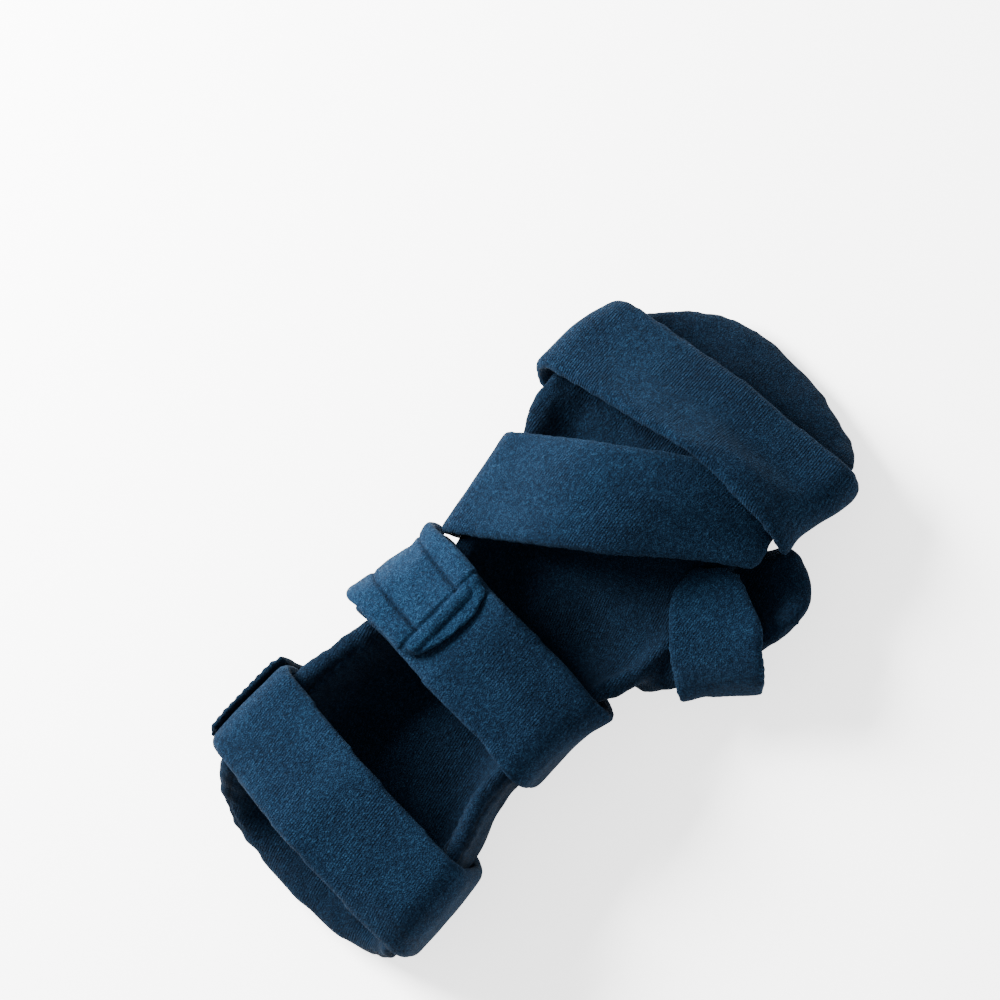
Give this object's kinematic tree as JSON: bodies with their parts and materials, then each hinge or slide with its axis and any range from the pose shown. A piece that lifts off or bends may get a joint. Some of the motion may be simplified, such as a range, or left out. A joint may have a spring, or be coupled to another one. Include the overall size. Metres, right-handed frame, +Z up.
{
  "type": "resting hand splint",
  "caption": "Left resting hand splint: a padded navy fleece trough, palm and finger pan with a thumb lobe, closed by padded straps.",
  "frame": {"origin": "on the resting surface, under the middle of the splint's bounding box", "axes": "+X from the trough's open end to the finger pan's tip, +Y to the little-finger side, +Z up from the resting surface"},
  "size_m": [0.3214, 0.1688, 0.0785],
  "materials": {
    "pad_fleece": "brushed fleece, dark navy",
    "strap_fleece": "brushed fleece, navy",
    "tab_fleece": "brushed fleece, lighter navy"
  },
  "bodies": {
    "root": {"splint_pad": "pad_fleece", "forearm_strap": "strap_fleece", "forearm_tab": "tab_fleece", "wrist_strap": "strap_fleece", "wrist_tab": "tab_fleece", "thumb_strap": "strap_fleece", "hand_strap": "strap_fleece", "finger_strap": "strap_fleece"}
  },
  "joints": []
}
